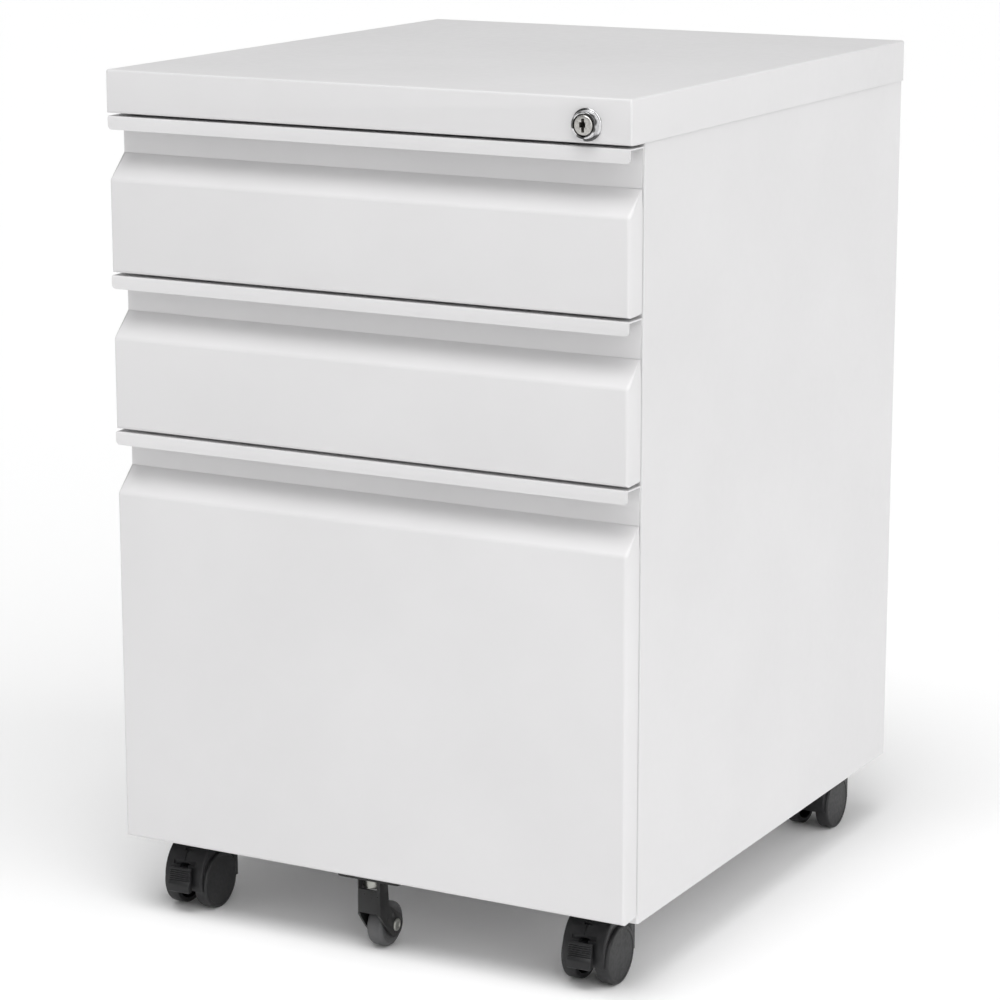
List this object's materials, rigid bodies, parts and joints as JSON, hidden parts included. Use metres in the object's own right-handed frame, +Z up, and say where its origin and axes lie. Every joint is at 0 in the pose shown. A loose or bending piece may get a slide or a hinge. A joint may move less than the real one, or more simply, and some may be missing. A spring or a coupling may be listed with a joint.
{
  "type": "rolling pedestal cabinet",
  "caption": "Low white steel office cabinet on casters: box drawers over a file drawer, full-width finger pulls, a key lock and a fixed anti-tip wheel.",
  "frame": {"origin": "on the floor, under the middle of the whole object", "axes": "+Z up, +X to the right seen from the front, drawers open towards -Y"},
  "size_m": [0.39, 0.456, 0.59],
  "materials": {
    "white_paint": "satin powder coat",
    "zinc_steel": "zinc plated",
    "chrome": "polished",
    "satin_nickel": "satin nickel",
    "black_nylon": "satin moulded nylon",
    "black_wheel": "satin moulded nylon",
    "black_paint": "black paint",
    "grey_tread": "matt",
    "tray_plastic": "fine grain",
    "guide_plastic": "plain nylon"
  },
  "bodies": {
    "case": {"top_cap": "white_paint", "left_side_panel": "white_paint", "right_side_panel": "white_paint", "back_panel": "white_paint", "bottom_panel": "white_paint", "slide_uprights": "zinc_steel", "box_drawer_outer_slides": "zinc_steel", "file_drawer_outer_slides": "zinc_steel", "lock_housing": "chrome", "lock_nut": "zinc_steel", "lock_bar_guides": "guide_plastic", "caster_stems": "zinc_steel", "caster_nuts": "zinc_steel"},
    "lock_cylinder": {"lock_plug": "satin_nickel", "lock_cam": "zinc_steel"},
    "lock_rod": {"lock_bar": "zinc_steel"},
    "top_drawer": {"top_drawer_front": "white_paint", "top_drawer_front_liner": "white_paint", "top_drawer_box": "white_paint", "top_drawer_inner_slides": "zinc_steel", "top_drawer_catch": "zinc_steel", "pencil_tray": "tray_plastic"},
    "middle_drawer": {"middle_drawer_front": "white_paint", "middle_drawer_front_liner": "white_paint", "middle_drawer_box": "white_paint", "middle_drawer_inner_slides": "zinc_steel", "middle_drawer_catch": "zinc_steel"},
    "file_drawer": {"file_drawer_front": "white_paint", "file_drawer_front_liner": "white_paint", "file_drawer_box": "white_paint", "file_drawer_inner_slides": "zinc_steel", "file_drawer_catch": "zinc_steel", "hanger_rails": "zinc_steel", "anti_tip_fork": "black_paint", "anti_tip_axle": "zinc_steel", "anti_tip_bolts": "zinc_steel"},
    "tip_wheel": {"anti_tip_wheel": "grey_tread"},
    "top_cages": {"top_drawer_ball_cages": "zinc_steel"},
    "middle_cages": {"middle_drawer_ball_cages": "zinc_steel"},
    "file_mid_members": {"file_drawer_mid_slides": "zinc_steel"},
    "file_outer_cages": {"file_drawer_outer_ball_cages": "zinc_steel"},
    "file_inner_cages": {"file_drawer_inner_ball_cages": "zinc_steel"},
    "front_left_caster": {"front_left_caster_hood": "black_nylon", "front_left_caster_axle": "zinc_steel"},
    "front_left_left_wheel": {"front_left_caster_left_wheel": "black_wheel"},
    "front_left_right_wheel": {"front_left_caster_right_wheel": "black_wheel"},
    "front_left_brake": {"front_left_brake_lever": "black_nylon"},
    "front_right_caster": {"front_right_caster_hood": "black_nylon", "front_right_caster_axle": "zinc_steel"},
    "front_right_left_wheel": {"front_right_caster_left_wheel": "black_wheel"},
    "front_right_right_wheel": {"front_right_caster_right_wheel": "black_wheel"},
    "front_right_brake": {"front_right_brake_lever": "black_nylon"},
    "rear_left_caster": {"rear_left_caster_hood": "black_nylon", "rear_left_caster_axle": "zinc_steel"},
    "rear_left_left_wheel": {"rear_left_caster_left_wheel": "black_wheel"},
    "rear_left_right_wheel": {"rear_left_caster_right_wheel": "black_wheel"},
    "rear_right_caster": {"rear_right_caster_hood": "black_nylon", "rear_right_caster_axle": "zinc_steel"},
    "rear_right_left_wheel": {"rear_right_caster_left_wheel": "black_wheel"},
    "rear_right_right_wheel": {"rear_right_caster_right_wheel": "black_wheel"}
  },
  "joints": [
    {"name": "top_drawer_slide", "type": "slide", "parent": "case", "child": "top_drawer", "axis": [0, -1, 0], "range_m": [0, 0.3]},
    {"name": "middle_drawer_slide", "type": "slide", "parent": "case", "child": "middle_drawer", "axis": [0, -1, 0], "range_m": [0, 0.3]},
    {"name": "file_drawer_slide", "type": "slide", "parent": "case", "child": "file_drawer", "axis": [0, -1, 0], "range_m": [0, 0.39]},
    {"name": "top_cages_slide", "type": "slide", "parent": "case", "child": "top_cages", "axis": [0, -1, 0], "range_m": [0, 0.15]},
    {"name": "middle_cages_slide", "type": "slide", "parent": "case", "child": "middle_cages", "axis": [0, -1, 0], "range_m": [0, 0.15]},
    {"name": "file_mid_slide", "type": "slide", "parent": "case", "child": "file_mid_members", "axis": [0, -1, 0], "range_m": [0, 0.195]},
    {"name": "file_outer_cages_slide", "type": "slide", "parent": "case", "child": "file_outer_cages", "axis": [0, -1, 0], "range_m": [0, 0.0975]},
    {"name": "file_inner_cages_slide", "type": "slide", "parent": "case", "child": "file_inner_cages", "axis": [0, -1, 0], "range_m": [0, 0.2925]},
    {"name": "lock_turn", "type": "hinge", "parent": "case", "child": "lock_cylinder", "pos_m": [0.1642, -0.222, 0.5728], "axis": [0, -1, 0], "range_deg": [0, 90]},
    {"name": "lock_rod_lift", "type": "slide", "parent": "case", "child": "lock_rod", "axis": [0, 0, 1], "range_m": [0, 0.01414]},
    {"name": "tip_wheel_spin", "type": "hinge", "parent": "file_drawer", "child": "tip_wheel", "pos_m": [0, -0.196, 0.016], "axis": [1, 0, 0], "continuous": true},
    {"name": "front_left_swivel", "type": "hinge", "parent": "case", "child": "front_left_caster", "pos_m": [-0.157, -0.171, 0.057], "axis": [0, 0, 1], "continuous": true},
    {"name": "front_left_left_wheel_spin", "type": "hinge", "parent": "front_left_caster", "child": "front_left_left_wheel", "pos_m": [-0.157, -0.185, 0.02], "axis": [1, 0, 0], "continuous": true},
    {"name": "front_left_right_wheel_spin", "type": "hinge", "parent": "front_left_caster", "child": "front_left_right_wheel", "pos_m": [-0.157, -0.185, 0.02], "axis": [1, 0, 0], "continuous": true},
    {"name": "front_left_brake_press", "type": "hinge", "parent": "front_left_caster", "child": "front_left_brake", "pos_m": [-0.157, -0.194, 0.029], "axis": [1, 0, 0], "range_deg": [0, 11]},
    {"name": "front_right_swivel", "type": "hinge", "parent": "case", "child": "front_right_caster", "pos_m": [0.157, -0.171, 0.057], "axis": [0, 0, 1], "continuous": true},
    {"name": "front_right_left_wheel_spin", "type": "hinge", "parent": "front_right_caster", "child": "front_right_left_wheel", "pos_m": [0.157, -0.185, 0.02], "axis": [1, 0, 0], "continuous": true},
    {"name": "front_right_right_wheel_spin", "type": "hinge", "parent": "front_right_caster", "child": "front_right_right_wheel", "pos_m": [0.157, -0.185, 0.02], "axis": [1, 0, 0], "continuous": true},
    {"name": "front_right_brake_press", "type": "hinge", "parent": "front_right_caster", "child": "front_right_brake", "pos_m": [0.157, -0.194, 0.029], "axis": [1, 0, 0], "range_deg": [0, 11]},
    {"name": "rear_left_swivel", "type": "hinge", "parent": "case", "child": "rear_left_caster", "pos_m": [-0.157, 0.198, 0.057], "axis": [0, 0, 1], "continuous": true},
    {"name": "rear_left_left_wheel_spin", "type": "hinge", "parent": "rear_left_caster", "child": "rear_left_left_wheel", "pos_m": [-0.157, 0.184, 0.02], "axis": [1, 0, 0], "continuous": true},
    {"name": "rear_left_right_wheel_spin", "type": "hinge", "parent": "rear_left_caster", "child": "rear_left_right_wheel", "pos_m": [-0.157, 0.184, 0.02], "axis": [1, 0, 0], "continuous": true},
    {"name": "rear_right_swivel", "type": "hinge", "parent": "case", "child": "rear_right_caster", "pos_m": [0.157, 0.198, 0.057], "axis": [0, 0, 1], "continuous": true},
    {"name": "rear_right_left_wheel_spin", "type": "hinge", "parent": "rear_right_caster", "child": "rear_right_left_wheel", "pos_m": [0.157, 0.184, 0.02], "axis": [1, 0, 0], "continuous": true},
    {"name": "rear_right_right_wheel_spin", "type": "hinge", "parent": "rear_right_caster", "child": "rear_right_right_wheel", "pos_m": [0.157, 0.184, 0.02], "axis": [1, 0, 0], "continuous": true}
  ],
  "couplings": [
    {"joint": "top_cages_slide", "follows": "top_drawer_slide", "ratio": 0.5},
    {"joint": "middle_cages_slide", "follows": "middle_drawer_slide", "ratio": 0.5},
    {"joint": "file_mid_slide", "follows": "file_drawer_slide", "ratio": 0.5},
    {"joint": "file_outer_cages_slide", "follows": "file_drawer_slide", "ratio": 0.25},
    {"joint": "file_inner_cages_slide", "follows": "file_drawer_slide", "ratio": 0.75},
    {"joint": "lock_turn", "follows": "lock_rod_lift", "rad_per_m": 111.07}
  ]
}
